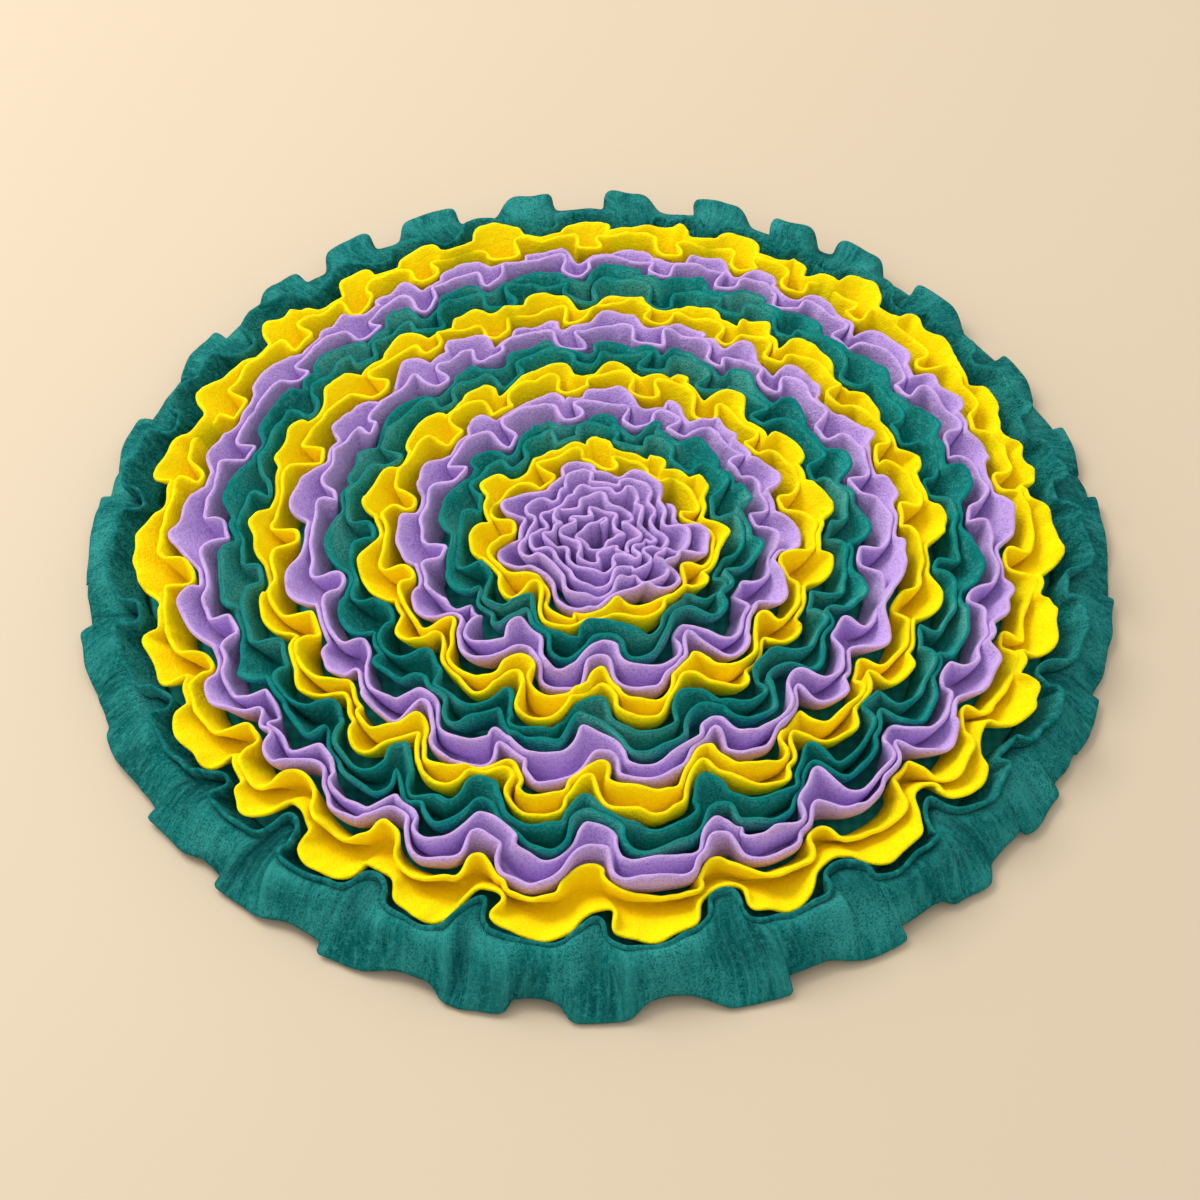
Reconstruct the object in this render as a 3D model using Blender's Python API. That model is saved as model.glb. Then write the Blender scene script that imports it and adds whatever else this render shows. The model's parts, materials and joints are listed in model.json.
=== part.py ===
"""Round snuffle mat: a plain base cloth with gathered fleece strips sewn on in rings.

Every ring strip is sewn down along its middle, so its two halves stand up as a pair of
pleated walls. A wound strip fills the centre, and a wide strip flares out as the rim.
Lengths are in metres, +Z is up, and the mat rests on z = 0 with its centre at the origin.
"""
import math
import random
from collections import namedtuple

import bmesh
import bpy

# Driving sizes
CLOTH = 0.0022            # thickness of the fleece
SEAM_GAP = 0.0003         # clearance kept between touching pieces
BASE_RADIUS = 0.232
BASE_THICKNESS = 0.0020
BASE_SIDES = 72
RUFFLE_TOP = 0.0255       # height of the cut edges over the floor
WALL_CLEAR = 0.0009       # least way between two neighbouring walls
SEAM_HALF = 0.0026        # half width of a strip's sewn-down middle
SEAM_FOLDS = 0.30         # how much of the top's pleating is left at the seam

# Pleats of one strip
PLEAT_DEPTH = 0.0115      # how far a pleat reaches in, where the neighbour leaves room
MOUTH_DEPTH = 0.0018      # how far in the panel already is where it turns into the pleat
INNER_MOUTH = 0.0160      # width of a pleat in the inner wall
INNER_TIP = 0.0165
OUTER_MOUTH = 0.0090      # width of a pleat in the outer wall, nested in the inner one
OUTER_TIP = 0.0092
FRONT_BULGE = 0.0056      # how far a panel swells out between its pleats at the front
BACK_BULGE = 0.0010       # and at the back, where the panels stand nearly straight
PANEL_SLANT = 0.0018      # how far one end of a panel lies further out than the other
DEPTH_RANGE = (0.75, 1.15)    # uneven gathering, as shares of the sizes above
BULGE_RANGE = (0.6, 1.1)
MITRE_LIMIT = 1.5         # a wall is at most this much thicker at a sharp corner
EDGE_WAVES = ((0.0008, 3), (0.0004, 11))    # rise of the cut edges, and how often round the mat

# Centre rosette, one strip wound on edge
ROSETTE_START = 0.0050
ROSETTE_END = 0.0422
ROSETTE_TURNS = 4.9
ROSETTE_LOBES = 7
ROSETTE_WAVE = 0.115      # lobe height as a share of the radius, in the outermost turn
ROSETTE_SWAY = 0.03       # slow unevenness of every turn, as a share of the radius
ROSETTE_SWAYS = 3
ROSETTE_DOME = 0.0015     # how much lower its outermost turn stands
ROSETTE_SEED = 1
STEPS_A_TURN = 32

# Outer flounce
RIM_RADIUS = 0.2262       # its inner, standing wall
RIM_TOP = 0.0225
HEM_RADIUS = 0.2485
HEM_LOW = SEAM_GAP        # hem height at the front, where it droops
HEM_HIGH = 0.0150         # and at the back, where it flares up
KNEE_FRONT = 0.0115       # height at which the flare turns down at the front
KNEE_BACK = 0.0080
HEM_FOLDS = 0.75          # pleating left at the hem
KNEE_SHARE = 0.45         # place of that knee on the way from the rim wall to the hem
RIM_SEAM = 0.0035         # how far inside the rim wall the strip is sewn down
FLOUNCE_SEED = 77

# Lean of the pleats: a gentle twist that comes and goes along the radius
TWIST = 0.0016
TWIST_LENGTH = 0.036
TWIST_CORE = 0.03         # inside this radius the twist is held back

# Angles of the flounce's inward pleats round the mat, in degrees. Each ring samples this
# uneven rhythm at its own pleat count, so neighbours nest at the front and drift apart behind.
PLEAT_RHYTHM = (-167, -153, -140, -129, -116, -104, -91, -75, -61, -47, -35, -22, -8,
                7, 18, 30, 44, 56, 64, 74, 86, 98, 111, 122, 132, 145, 161, 174)

# One row for each ring, from the centre out. panel is the radius of the outer wall's
# panels, gap the way from its inner wall, folds the number of pleats, and front the
# place in PLEAT_RHYTHM of the pleat at the front.
Ring = namedtuple("Ring", "name colour panel gap folds front")
RINGS = (
    Ring("ring_02_yellow", "yellow", 0.0590, 0.0058, 8, 6.35),
    Ring("ring_03_teal", "teal", 0.0752, 0.0064, 11, 6.10),
    Ring("ring_04_purple", "purple", 0.0930, 0.0066, 13, 6.25),
    Ring("ring_05_yellow", "yellow", 0.1103, 0.0062, 15, 6.00),
    Ring("ring_06_teal", "teal", 0.1277, 0.0064, 17, 5.90),
    Ring("ring_07_purple", "purple", 0.1455, 0.0066, 19, 6.10),
    Ring("ring_08_yellow", "yellow", 0.1622, 0.0060, 21, 6.00),
    Ring("ring_09_teal", "teal", 0.1797, 0.0064, 23, 5.95),
    Ring("ring_10_purple", "purple", 0.1972, 0.0066, 25, 6.05),
    Ring("ring_11_yellow", "yellow", 0.2182, 0.0092, 27, 5.95),
)

# name: base colour, roughness
COLOURS = {
    "yellow": ((0.90, 0.60, 0.012, 1.0), 0.95),
    "teal": ((0.008, 0.175, 0.160, 1.0), 0.95),
    "purple": ((0.420, 0.270, 0.610, 1.0), 0.95),
    "base": ((0.020, 0.150, 0.140, 1.0), 0.95),
}

FULL_TURN = 2 * math.pi
GRID = 1440               # directions in which the clearance to the next wall is read
EDGE_ON = 1e-9            # a line seen end on has no radius to read

Fold = namedtuple("Fold", "angle middle depth slant bulge")


def polar(angle, radius):
    return radius * math.cos(angle), radius * math.sin(angle)


def front_to_back(angle, front, back):
    """A value that eases from the front of the mat (-Y) to its back."""
    return back + (front - back) * (0.5 - 0.5 * math.sin(angle))


def pleat_angle(place):
    """Angle at a fractional place in PLEAT_RHYTHM, running on round the mat."""
    turns, place = divmod(place, len(PLEAT_RHYTHM))
    index = int(place)
    ring_on = PLEAT_RHYTHM + (PLEAT_RHYTHM[0] + 360,)
    degrees = ring_on[index] + (ring_on[index + 1] - ring_on[index]) * (place - index)
    return math.radians(degrees + 360 * turns)


def make_folds(count, front, seed):
    """The pleats of one strip, each as uneven as a hand-gathered one."""
    uneven = random.Random(seed)
    step = len(PLEAT_RHYTHM) / count
    folds = []
    for k in range(count):
        angle = pleat_angle(front + k * step)
        after = pleat_angle(front + (k + 1) * step)
        middle = (angle + after) / 2
        folds.append(Fold(
            angle=angle,
            middle=middle,
            depth=PLEAT_DEPTH * uneven.uniform(*DEPTH_RANGE),
            slant=PANEL_SLANT * uneven.uniform(-1, 1),
            bulge=front_to_back(middle, FRONT_BULGE, BACK_BULGE) * uneven.uniform(*BULGE_RANGE),
        ))
    return folds


def pleated_outline(folds, panel, mouth, tip, share=1.0):
    """Plan of a pleated wall as (angle, radius): five points for each pleat and panel."""
    outline = []
    for fold in folds:
        half_mouth = mouth / 2 / panel
        half_tip = tip / 2 / panel
        reach = panel - share * fold.depth
        mouth_radius = panel - MOUTH_DEPTH
        outline += [
            (fold.angle - half_mouth, mouth_radius + fold.slant),
            (fold.angle - half_tip, reach),
            (fold.angle + half_tip, reach),
            (fold.angle + half_mouth, mouth_radius - fold.slant),
            (fold.middle, panel + share * fold.bulge),
        ]
    return outline


def rotated_pairs(items):
    return zip(items, items[1:] + items[:1])


def crossings(start, end):
    """Grid directions between two plan points, each with the radius of the line there."""
    first, last = math.atan2(start[1], start[0]), math.atan2(end[1], end[0])
    sweep = (last - first + math.pi) % FULL_TURN - math.pi
    low, high = sorted((first, first + sweep))
    normal_x, normal_y = end[1] - start[1], start[0] - end[0]
    for k in range(math.ceil(low / FULL_TURN * GRID), math.floor(high / FULL_TURN * GRID) + 1):
        angle = k * FULL_TURN / GRID
        facing = normal_x * math.cos(angle) + normal_y * math.sin(angle)
        if abs(facing) > EDGE_ON:
            yield k % GRID, (normal_x * start[0] + normal_y * start[1]) / facing


def reach_of(points):
    """Furthest reach of a closed plan line in every grid direction."""
    reach = [0.0] * GRID
    for start, end in rotated_pairs(points):
        for k, radius in crossings(start, end):
            reach[k] = max(reach[k], radius)
    return reach


def raised_clear(outline, limit):
    """The outline with points moved out until each of its lines clears the limit."""
    lifts = [0.0] * len(outline)
    for i in range(len(outline)):
        after = (i + 1) % len(outline)
        for k, radius in crossings(polar(*outline[i]), polar(*outline[after])):
            short = limit[k] + WALL_CLEAR - radius
            lifts[i] = max(lifts[i], short)
            lifts[after] = max(lifts[after], short)
    return [(angle, radius + lift) for (angle, radius), lift in zip(outline, lifts)]


def offset_outward(points, distance):
    """A closed plan line moved along its own normals, mitred at the corners."""
    moved = []
    for i, (x, y) in enumerate(points):
        before, after = points[i - 1], points[(i + 1) % len(points)]
        normals = []
        for (ax, ay), (bx, by) in ((before, (x, y)), ((x, y), after)):
            length = math.hypot(bx - ax, by - ay)
            normals.append(((by - ay) / length, (ax - bx) / length))
        sum_x, sum_y = normals[0][0] + normals[1][0], normals[0][1] + normals[1][1]
        size = math.hypot(sum_x, sum_y)
        mitre = min(2 / size, MITRE_LIMIT)
        moved.append((x + distance * mitre * sum_x / size, y + distance * mitre * sum_y / size))
    return moved


def twisted(x, y):
    """Shift round the centre that varies along the radius, so pleats lean and neighbours follow."""
    radius, angle = math.hypot(x, y), math.atan2(y, x)
    shift = TWIST * math.sin(FULL_TURN * radius / TWIST_LENGTH + 2 * angle)
    return polar(angle + shift / max(radius, TWIST_CORE), radius)


def edge_height(angle, seed):
    """Cut edges rise and dip by about a millimetre round the mat."""
    (slow, slow_waves), (quick, quick_waves) = EDGE_WAVES
    rise = slow * math.sin(slow_waves * angle + seed) + quick * math.sin(quick_waves * angle + 2 * seed)
    return RUFFLE_TOP + rise


def loft(name, sections, closed, colour):
    """Solid through closed sections of equal point count; an open run gets end faces."""
    work = bmesh.new()
    rows = []
    for section in sections:
        rows.append([work.verts.new((*twisted(x, y), z)) for x, y, z in section])
    pairs = rotated_pairs(rows) if closed else zip(rows, rows[1:])
    for row, following in pairs:
        for j in range(len(row)):
            after = (j + 1) % len(row)
            work.faces.new((row[j], following[j], following[after], row[after]))
    if not closed:
        work.faces.new(rows[0])
        work.faces.new(rows[-1])
    bmesh.ops.recalc_face_normals(work, faces=work.faces)
    mesh = bpy.data.meshes.new(name)
    work.to_mesh(mesh)
    work.free()
    return add_object(name, mesh, colour)


def add_object(name, mesh, colour):
    made = bpy.data.objects.new(name, mesh)
    made.data.materials.append(material(name, colour))
    parts.objects.link(made)
    return made


def material(name, colour):
    base_colour, roughness = COLOURS[colour]
    made = bpy.data.materials.new(name)
    made.use_nodes = True
    shader = made.node_tree.nodes["Principled BSDF"]
    shader.inputs["Base Color"].default_value = base_colour
    shader.inputs["Roughness"].default_value = roughness
    return made


def build_base():
    bpy.ops.mesh.primitive_cylinder_add(
        vertices=BASE_SIDES, radius=BASE_RADIUS, depth=BASE_THICKNESS, location=(0, 0, BASE_THICKNESS / 2))
    base = bpy.context.object
    base.name = base.data.name = "base_cloth"
    base.data.materials.append(material("base_cloth", "base"))
    bpy.context.collection.objects.unlink(base)
    parts.objects.link(base)


def build_rosette():
    """Strip wound on edge into a wavy spiral; returns its reach for the first ring."""
    steps = round(ROSETTE_TURNS * STEPS_A_TURN)
    floor = BASE_THICKNESS + SEAM_GAP
    sections, outer_turn = [], []
    for step in range(steps + 1):
        along = step / steps
        angle = FULL_TURN * ROSETTE_TURNS * along
        radius = ROSETTE_START + (ROSETTE_END - ROSETTE_START) * along
        lobe = ROSETTE_WAVE * along * math.cos(ROSETTE_LOBES * angle)
        wave = lobe + ROSETTE_SWAY * math.sin(ROSETTE_SWAYS * angle + ROSETTE_SEED)
        top = radius * (1 + wave)
        foot = radius * (1 + SEAM_FOLDS * wave)
        height = edge_height(angle, ROSETTE_SEED) - ROSETTE_DOME * along
        points = ((foot - CLOTH / 2, floor), (top - CLOTH / 2, height),
                  (top + CLOTH / 2, height), (foot + CLOTH / 2, floor))
        sections.append([(*polar(angle, r), z) for r, z in points])
        if steps - step < STEPS_A_TURN:
            outer_turn.append(polar(angle, top + CLOTH / 2))
    loft("rosette_purple", sections, closed=False, colour="purple")
    return reach_of(outer_turn)


def build_ring(index, ring, limit):
    """Strip sewn down along its middle, both halves standing; returns its reach."""
    folds = make_folds(ring.folds, ring.front, seed=index)
    inner_panel = ring.panel - ring.gap - CLOTH
    inner = raised_clear(pleated_outline(folds, inner_panel, INNER_MOUTH, INNER_TIP), limit)
    inner_face = [polar(*point) for point in inner]
    inner_back = offset_outward(inner_face, CLOTH)
    outer = raised_clear(
        pleated_outline(folds, ring.panel - CLOTH, OUTER_MOUTH, OUTER_TIP), reach_of(inner_back))
    outer_face = [polar(*point) for point in outer]
    outer_back = offset_outward(outer_face, CLOTH)

    floor = BASE_THICKNESS + SEAM_GAP
    seam = ring.panel - ring.gap / 2 - CLOTH - PLEAT_DEPTH * SEAM_FOLDS / 2
    sections = []
    for k, (angle, radius) in enumerate(inner):
        middle = seam + SEAM_FOLDS * (radius - inner_panel)
        centre_angle = (angle + outer[k][0]) / 2
        height = edge_height(angle, index)
        sections.append([
            (*polar(centre_angle, middle - SEAM_HALF), floor),
            (*inner_face[k], height),
            (*inner_back[k], height),
            (*polar(centre_angle, middle), floor + CLOTH),
            (*outer_face[k], height),
            (*outer_back[k], height),
            (*polar(centre_angle, middle + SEAM_HALF), floor),
        ])
    loft(ring.name, sections, closed=True, colour=ring.colour)
    return reach_of(outer_back)


def build_flounce(limit):
    """Wide rim strip: one half stands as a low wall, the other flares out in deep pleats."""
    folds = make_folds(len(PLEAT_RHYTHM), front=0, seed=FLOUNCE_SEED)
    rim = raised_clear(pleated_outline(folds, RIM_RADIUS, OUTER_MOUTH, OUTER_TIP), limit)
    rim_face = [polar(*point) for point in rim]
    rim_back = offset_outward(rim_face, CLOTH)
    hem = pleated_outline(folds, HEM_RADIUS - CLOTH, OUTER_MOUTH, OUTER_TIP, share=HEM_FOLDS)

    floor = BASE_THICKNESS + SEAM_GAP
    sections = []
    for k, (angle, radius) in enumerate(hem):
        hem_height = front_to_back(angle, HEM_LOW, HEM_HIGH)
        knee = RIM_RADIUS + KNEE_SHARE * (radius - RIM_RADIUS)
        knee_height = front_to_back(angle, KNEE_FRONT, KNEE_BACK)
        seam = RIM_RADIUS - RIM_SEAM + SEAM_FOLDS * (rim[k][1] - RIM_RADIUS)
        sections.append([
            (*polar(angle, seam - CLOTH / 2), floor),
            (*rim_face[k], RIM_TOP),
            (*rim_back[k], RIM_TOP),
            (*polar(angle, seam + CLOTH / 2), floor + CLOTH),
            (*polar(angle, knee), knee_height + CLOTH),
            (*polar(angle, radius + CLOTH), hem_height + CLOTH),
            (*polar(angle, radius), hem_height),
            (*polar(angle, knee), knee_height),
            (*polar(angle, seam + CLOTH), floor),
        ])
    loft("flounce_teal", sections, closed=True, colour="teal")


for old in list(bpy.data.objects):
    bpy.data.objects.remove(old, do_unlink=True)

parts = bpy.data.collections.new("snuffle_mat")
bpy.context.scene.collection.children.link(parts)

build_base()
reach = build_rosette()
for number, row in enumerate(RINGS, start=2):
    reach = build_ring(number, row, reach)
build_flounce(reach)
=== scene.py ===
import json
import math
import random

import bpy
import numpy as np
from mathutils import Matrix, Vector

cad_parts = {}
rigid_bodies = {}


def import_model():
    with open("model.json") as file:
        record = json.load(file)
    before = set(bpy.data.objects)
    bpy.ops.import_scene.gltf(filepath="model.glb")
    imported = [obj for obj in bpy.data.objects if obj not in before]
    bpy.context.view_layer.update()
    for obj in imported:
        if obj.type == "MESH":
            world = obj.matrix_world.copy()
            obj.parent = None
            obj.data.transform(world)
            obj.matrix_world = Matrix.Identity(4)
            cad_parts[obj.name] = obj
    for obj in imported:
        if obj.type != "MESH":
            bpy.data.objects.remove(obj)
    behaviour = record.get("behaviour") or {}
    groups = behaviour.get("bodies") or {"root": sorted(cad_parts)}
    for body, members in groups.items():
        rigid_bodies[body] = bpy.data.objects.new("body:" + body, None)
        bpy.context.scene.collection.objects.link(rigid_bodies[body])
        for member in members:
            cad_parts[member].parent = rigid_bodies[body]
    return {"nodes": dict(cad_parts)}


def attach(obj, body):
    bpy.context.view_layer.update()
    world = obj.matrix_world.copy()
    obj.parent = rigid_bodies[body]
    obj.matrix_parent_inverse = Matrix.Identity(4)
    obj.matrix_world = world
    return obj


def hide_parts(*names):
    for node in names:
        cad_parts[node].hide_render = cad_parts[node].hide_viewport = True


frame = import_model()
bpy.ops.object.select_all(action="DESELECT")
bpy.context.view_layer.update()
print("frame loaded")

fullTurn = 2 * math.pi

# How every fleece strip is cut and meshed, in metres
fleece = {
    "thickness": 0.0023,
    "air": 0.0003,           # least way between two walls
    "column": 0.0025,        # mesh spacing along a strip, before it is subdivided
    "lineStep": 0.0005,      # spacing at which a wall's line in plan is worked out
    "turnBlur": 0.011,       # how far the folds are smoothed away to find the columns
    "readings": 6001,        # places at which a strip's length is measured
    "fineness": 6,           # readings of a line for each of its points
    "rows": (0, 0.32, 0.62, 0.87, 1),   # from the seam to the cut edge
    "seamHeight": 0.0035,    # middle of the cloth where it is sewn down
    "ruffleTop": 0.0255,
    "directions": 2880,      # in which the way to the next wall is read
    "foldRadius": 0.0038,    # the tightest fold that a wall makes inwards
    "halfWidth": 0.0275,     # of a ring's strip and the flounce's, as the finish reads it
    "creaseRim": 0.45,
}

# Pleats, with the solids' rhythm of angles; three sizes are for the front, the sides and the back
pleats = {
    "rhythm": (-167, -153, -140, -129, -116, -104, -91, -75, -61, -47, -35, -22, -8,
               7, 18, 30, 44, 56, 64, 74, 86, 98, 111, 122, 132, 145, 161, 174),
    "inner": {"depth": (0.0205, 0.0200, 0.0140), "mouth": (0.0250, 0.0105, 0.0105),
              "tip": (0.0150, 0.0130, 0.0190), "bulge": (0.0040, 0.0020, 0.0008)},
    "outer": {"depth": (0.0180, 0.0125, 0.0100), "mouth": (0.0250, 0.0210, 0.0190),
              "tip": (0.0140, 0.0120, 0.0150), "bulge": (0.0075, 0.0065, 0.0025)},
    "petals": {"depth": (0.0170, 0.0125, 0.0100), "mouth": (0.0270, 0.0220, 0.0190),
               "tip": (0.0200, 0.0120, 0.0150), "bulge": (0.0085, 0.0045, 0.0020)},
    "rim": {"depth": (0.0200, 0.0110, 0.0080), "mouth": (0.0150, 0.0150, 0.0160),
            "tip": (0.0205, 0.0150, 0.0150), "bulge": (0.0040, 0.0020, 0.0010)},
    "size": (0.66, 1.20),                # how unevenly deep the pleats are, and how full their panels
    "fullness": (0.7, 1.15),
    "mouthSpread": (0.6, 1.2),
    "tipSpread": (0.85, 1.3),
    "widest": 0.62,                      # share of half a pleat that a mouth or a tip may take
    "tilt": 0.0015,
    "matched": (0.6, 0, 0),              # how far an outer wall's folds move to its own inner wall's
    "shoulder": (0.35, 0.80, 1.0),       # how full a panel is beside its middle
    "beside": (0.6, 0.85),               # where beside, as a share of the way to the pleat
    "besideRise": (-0.002, 0.001),
    "crestShift": (-0.2, 0.2),
    "dent": 0.0050,                      # how far a panel may fall in again at its middle
    "dentPower": 2.2,
    "round": (0.0026, 0.0022, 0.0010),
    "sway": 0.0040,                      # how far the tip of a fold may swing sideways
    "slant": 0.0018,
    "slot": (0.0025, 0.0300, 0.0300),    # widest way that a ring leaves to the ring inside it
    "seamFolds": 0.30,
    "leanOut": (0.0015, 0.0125, 0.0115),  # a strip is sewn down this far inside its cut edges
    "upright": (0.9, 0.25, 0.25),        # how far a wall stands up before it leans out
    "belly": (0.0022, 0.0006, 0),
    "ripple": 0.0009,                    # small waves of a cut edge between its pleats
    "rippleLength": 0.014,
    "rippled": 1.2,
    "sharp": 3.5,                        # how narrow the front is for sizes that change quickly
}

# How a wall's line is fitted to what stands inside it; blurs are in steps of the line
fitting = {
    "rounds": 4,
    "steadyFrom": 0.003,     # where this much room is missing, a fold is smoothed out fully
    "steadyBlur": 5,
    "lineBlur": 3,
    "drawBlur": 6,
    "drawShare": 0.85,
    "drawSharp": 2.5,
}

# Waves in the height of a cut edge
edgeWaves = {
    "lengths": ((0.060, 0.7), (0.022, 0.8), (0.008, 0.35), (0.0035, 0.16)),   # wavelength, share
    "ring": 0.0013,
    "rosette": 0.0014,
    "flounce": 0.0009,
    "ringDrop": 0.0006,      # how much lower a ring's edge is than the ruffle top
}

# How the line is drawn on which a strip is sewn down
sewing = {
    "swing": 0.007,          # lengths over which its way round, its mean and its near radius are smoothed
    "mean": 0.05,
    "near": 0.003,
    "coreRadius": 0.07,      # nearer the middle than this, strips are sewn down less far inside their edges
}


# One place round the mat is an angle from +X, and the front is -Y
def around(angle, sizes, narrow=1.5):
    front, side, back = sizes
    share = np.sin(angle)
    towardsFront = (front - side) * np.maximum(-share, 0) ** narrow
    return side + towardsFront + (back - side) * np.maximum(share, 0) ** narrow


def pleatAngle(place):
    rhythm = pleats["rhythm"]
    turns, place = divmod(place, len(rhythm))
    index = int(place)
    ringOn = rhythm + (rhythm[0] + 360,)
    degrees = ringOn[index] + (ringOn[index + 1] - ringOn[index]) * (place - index)
    return math.radians(degrees + 360 * turns)


def makeFolds(count, front, seed):
    uneven = random.Random(seed)
    step = len(pleats["rhythm"]) / count
    folds = []
    for k in range(count):
        angle = pleatAngle(front + k * step)
        after = pleatAngle(front + (k + 1) * step)
        middle = (angle + after) / 2
        folds.append({
            "angle": angle,
            "middle": middle,
            "size": uneven.uniform(*pleats["size"]),
            "slant": pleats["slant"] * uneven.uniform(-1, 1),
            "fullness": uneven.uniform(*pleats["fullness"]),
        })
    return folds


# Corners of a pleated wall in plan: angle and radius, four for each pleat and three for its panel
def wallCorners(folds, panel, wall, seed=0):
    uneven = random.Random(seed)
    corners = []
    for fold in folds:
        angle, middle = fold["angle"], fold["middle"]
        shape = {part: around(angle, sizes) for part, sizes in pleats[wall].items()}
        widest = (middle - angle) * pleats["widest"]
        halfMouth = min(shape["mouth"] / 2 / panel * uneven.uniform(*pleats["mouthSpread"]), widest)
        halfTip = min(shape["tip"] / 2 / panel * uneven.uniform(*pleats["tipSpread"]), widest)
        skew = pleats["sway"] * uneven.uniform(-1, 1) / panel
        tip = panel - shape["depth"] * fold["size"]
        tilt = uneven.uniform(-pleats["tilt"], pleats["tilt"])
        quarter = (middle - angle) * 0.5
        bulge = around(middle, pleats[wall]["bulge"]) * fold["fullness"]
        crest = panel + bulge
        beside = panel + bulge * around(middle, pleats["shoulder"])
        dent = pleats["dent"] * uneven.random() ** pleats["dentPower"]
        shares, rises = pleats["beside"], pleats["besideRise"]
        corners += [
            (angle - halfMouth, panel + fold["slant"]),
            (angle - halfTip + skew, tip + tilt),
            (angle + halfTip + skew, tip - tilt),
            (angle + halfMouth, panel - fold["slant"]),
            (middle - quarter * uneven.uniform(*shares), beside + uneven.uniform(*rises)),
            (middle + quarter * uneven.uniform(*pleats["crestShift"]), crest - dent),
            (middle + quarter * uneven.uniform(*shares), beside + uneven.uniform(*rises)),
        ]
    return np.array(corners)


# A closed wall line with round folds: x, y, the small ripple in it, and the height where corners have one
def roundLine(corners, seed, rounding=pleats["round"], rippled=pleats["rippled"]):
    angle, radius = corners[:, 0], corners[:, 1]
    points = [radius * np.cos(angle), radius * np.sin(angle), *corners[:, 2:].T]
    points = [np.append(v, v[0]) for v in points]
    length = np.append(0, np.cumsum(np.hypot(np.diff(points[0]), np.diff(points[1]))))
    count = int(length[-1] / fleece["lineStep"])
    step = length[-1] / count
    points = [np.interp(np.arange(count) * step, length, v) for v in points]
    shares = [around(np.arctan2(points[1], points[0]), part) for part in ((1, 0, 0), (0, 1, 0), (0, 0, 1))]
    x, y, *height = (sum(share * ringBlur(v, size / step) for share, size in zip(shares, rounding))
                     for v in points)
    ripple = ringBlur(np.random.default_rng(seed).standard_normal(count), pleats["rippleLength"] / 4.4 / step)
    ripple *= rippled * pleats["ripple"] / ripple.std()
    dx, dy = ringSlope(x), ringSlope(y)
    size = np.hypot(dx, dy)
    rippleX, rippleY = ripple * dy / size, -ripple * dx / size
    return [x + rippleX, y + rippleY, rippleX, rippleY, *height]


def ringBlur(values, sigma):
    cycles = np.fft.rfftfreq(len(values))
    kept = np.exp(-0.5 * (fullTurn * cycles * sigma) ** 2)
    return np.fft.irfft(np.fft.rfft(values) * kept, len(values))


# Moves a wall's line out of what stands inside it, and smooths out a fold with no room; a last blur may
# leave the two a little inside each other
def clearedLine(x, y, limit):
    directions = np.arange(len(limit) + 1) * fullTurn / len(limit)
    for again in range(fitting["rounds"]):
        radius, angle = np.hypot(x, y), np.unwrap(np.arctan2(y, x))
        steady = np.maximum.accumulate(angle) / 2 + np.minimum.accumulate(angle[::-1])[::-1] / 2
        short = np.maximum(0, np.interp(angle % fullTurn, directions, np.append(limit, limit[0])) - radius)
        missing = np.clip(short / fitting["steadyFrom"], 0, 1)
        angle = angle + (steady - angle) * ringBlur(missing, fitting["steadyBlur"])
        short = np.maximum(0, np.interp(angle % fullTurn, directions, np.append(limit, limit[0])) - radius)
        radius = radius + short
        x, y = (ringBlur(v, fitting["lineBlur"]) for v in (radius * np.cos(angle), radius * np.sin(angle)))
    return x, y


# Draws a wall's line in to what stands inside it, where the way between them is wider than it may be
def drawnLine(x, y, limit):
    directions = np.arange(len(limit) + 1) * fullTurn / len(limit)
    radius, angle = np.hypot(x, y), np.arctan2(y, x)
    slack = radius - np.interp(angle % fullTurn, directions, np.append(limit, limit[0]))
    allowed = around(angle, pleats["slot"], fitting["drawSharp"])
    radius = radius - fitting["drawShare"] * ringBlur(np.maximum(0, slack - allowed), fitting["drawBlur"])
    return radius * np.cos(angle), radius * np.sin(angle)


# Fills the narrow notches of a reach, so that the next wall has room for round folds only
def roundNotches(reach, size):
    step = fullTurn / len(reach) * reach.mean()
    shifts = range(-int(size / step), int(size / step) + 1)
    heights = [math.sqrt(size ** 2 - (shift * step) ** 2) for shift in shifts]
    filled = np.max([np.roll(reach, shift) + height for shift, height in zip(shifts, heights)], axis=0)
    return np.min([np.roll(filled, shift) - height for shift, height in zip(shifts, heights)], axis=0)


# Furthest reach of a line in every direction, grown by the room that the next wall needs
def grownReach(x, y):
    room = fleece["thickness"] + fleece["air"]
    count = fleece["directions"]
    fine = np.linspace(0, len(x), fleece["fineness"] * len(x), endpoint=False)
    where = np.arange(len(x) + 1)
    x, y = (np.interp(fine, where, np.append(v, v[0])) for v in (x, y))
    radius = np.hypot(x, y)
    index = np.floor(np.arctan2(y, x) % fullTurn / fullTurn * count).astype(int) % count
    reach = np.zeros(count)
    np.maximum.at(reach, index, radius)
    filled = np.flatnonzero(reach)
    reach = np.interp(np.arange(count), filled, reach[filled], period=count)
    grown = reach + room
    for shift in range(1, int(room / reach.min() / fullTurn * count) + 2):
        side = shift * fullTurn / count
        for direction in (shift, -shift):
            moved = np.roll(reach, direction)
            across = room ** 2 - (moved * math.sin(side)) ** 2
            further = moved * math.cos(side) + np.sqrt(np.abs(across))
            grown = np.maximum(grown, np.where(across > 0, further, 0))
    return roundNotches(grown, fleece["foldRadius"])


# How far round the mat each point of a line is, with its folds smoothed away, in turns
def smoothTurn(x, y):
    even = np.arange(len(x)) / len(x)
    angle = np.unwrap(np.arctan2(y, x)) / fullTurn
    return even + ringBlur(angle - even, fleece["turnBlur"] / fleece["lineStep"])


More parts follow.
